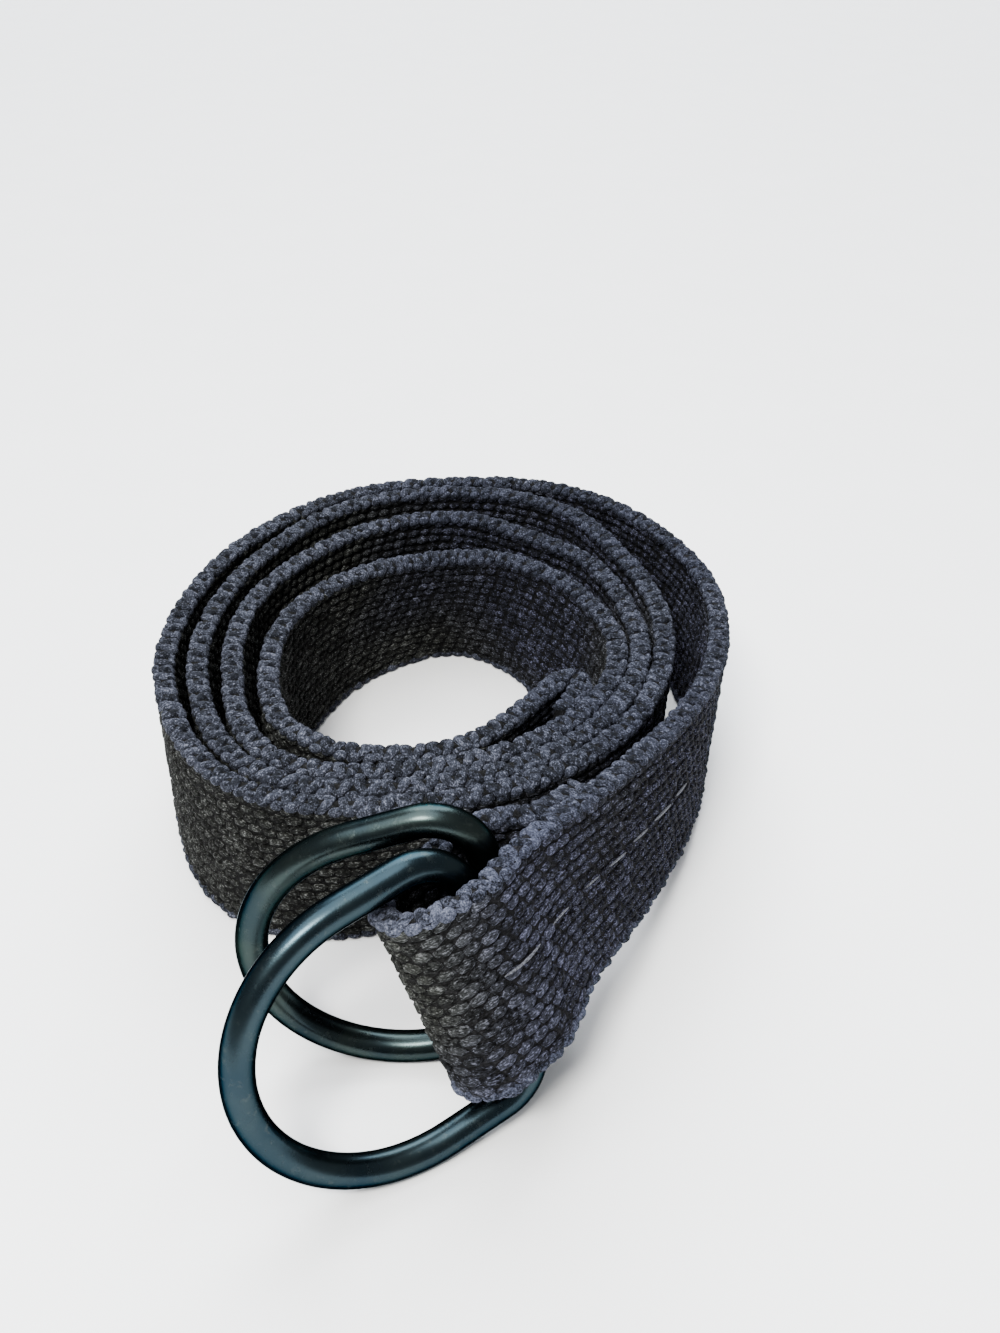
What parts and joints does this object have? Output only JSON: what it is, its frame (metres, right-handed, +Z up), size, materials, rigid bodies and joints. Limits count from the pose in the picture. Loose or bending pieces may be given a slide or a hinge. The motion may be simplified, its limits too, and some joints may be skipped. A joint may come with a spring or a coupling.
{
  "type": "double ring belt",
  "caption": "Coarse webbing belt wound on its edge into a loose coil, its outer end sewn round two D rings that hinge on their bars.",
  "frame": {"origin": "middle of the belt's outline, on the floor that it stands on", "axes": "+Z up, along the webbing's width; the two rings are at -Y, the coil at +Y"},
  "size_m": [0.1086, 0.164, 0.0495],
  "materials": {
    "webbing": "coarse matt cotton weave, faded black",
    "ring_steel": "polished dark blued steel, lightly worn"
  },
  "bodies": {
    "webbing": {"strap": "webbing"},
    "front_ring": {"ring_front": "ring_steel"},
    "back_ring": {"ring_back": "ring_steel"}
  },
  "joints": [
    {"name": "front_ring_hinge", "type": "hinge", "parent": "webbing", "child": "front_ring", "pos_m": [0.00969, -0.05935, 0.02611], "axis": [-0.3276, 0.1657, 0.9302], "range_deg": [0, 105]},
    {"name": "back_ring_hinge", "type": "hinge", "parent": "webbing", "child": "back_ring", "pos_m": [0.01173, -0.05313, 0.02893], "axis": [0.3151, -0.0612, -0.9471], "range_deg": [0, 28]}
  ]
}
